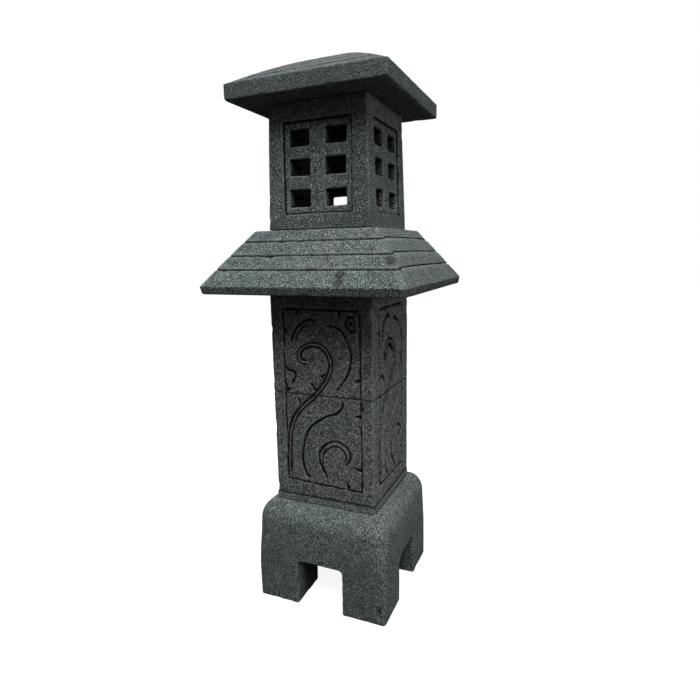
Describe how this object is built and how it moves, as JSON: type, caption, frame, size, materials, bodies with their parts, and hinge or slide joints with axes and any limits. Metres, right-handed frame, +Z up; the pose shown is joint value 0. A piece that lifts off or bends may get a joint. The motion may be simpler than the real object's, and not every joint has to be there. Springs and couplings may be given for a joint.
{
  "type": "stone lantern",
  "caption": "Stone garden lantern: square stacked blocks on a four-legged foot, carved shaft, hipped eaves, windowed light chamber and domed cap, with a tea light inside.",
  "frame": {"origin": "centre of the foot stone's footprint, on the ground", "axes": "+Z up; the front of the lantern faces -Y"},
  "size_m": [0.375, 0.375, 1],
  "materials": {
    "lava_stone": "sawn and hand-dressed, matte, finely pitted",
    "cup_aluminium": "bright drawn foil",
    "candle_wax": "smooth wax, slightly translucent",
    "wick_cotton": "braided cotton",
    "sustainer_steel": "thin pressed steel"
  },
  "bodies": {
    "foot": {"foot_stone": "lava_stone"},
    "lower_post": {"lower_shaft": "lava_stone"},
    "upper_post": {"upper_shaft": "lava_stone"},
    "eaves": {"eaves_stone": "lava_stone"},
    "chamber": {"light_chamber": "lava_stone"},
    "cap": {"cap_stone": "lava_stone"},
    "tealight": {"tealight_cup": "cup_aluminium", "tealight_wax": "candle_wax", "tealight_wick": "wick_cotton", "wick_sustainer": "sustainer_steel"}
  },
  "joints": [
    {"name": "lower_shaft_lift", "type": "slide", "parent": "foot", "child": "lower_post", "axis": [0, 0, 1], "range_m": [0, 0.04]},
    {"name": "upper_shaft_lift", "type": "slide", "parent": "lower_post", "child": "upper_post", "axis": [0, 0, 1], "range_m": [0, 0.04]},
    {"name": "eaves_lift", "type": "slide", "parent": "upper_post", "child": "eaves", "axis": [0, 0, 1], "range_m": [0, 0.04]},
    {"name": "chamber_lift", "type": "slide", "parent": "eaves", "child": "chamber", "axis": [0, 0, 1], "range_m": [0, 0.04]},
    {"name": "cap_lift", "type": "slide", "parent": "chamber", "child": "cap", "axis": [0, 0, 1], "range_m": [0, 0.15]},
    {"name": "tealight_lift", "type": "slide", "parent": "eaves", "child": "tealight", "axis": [0, 0, 1], "range_m": [0, 0.12]}
  ]
}
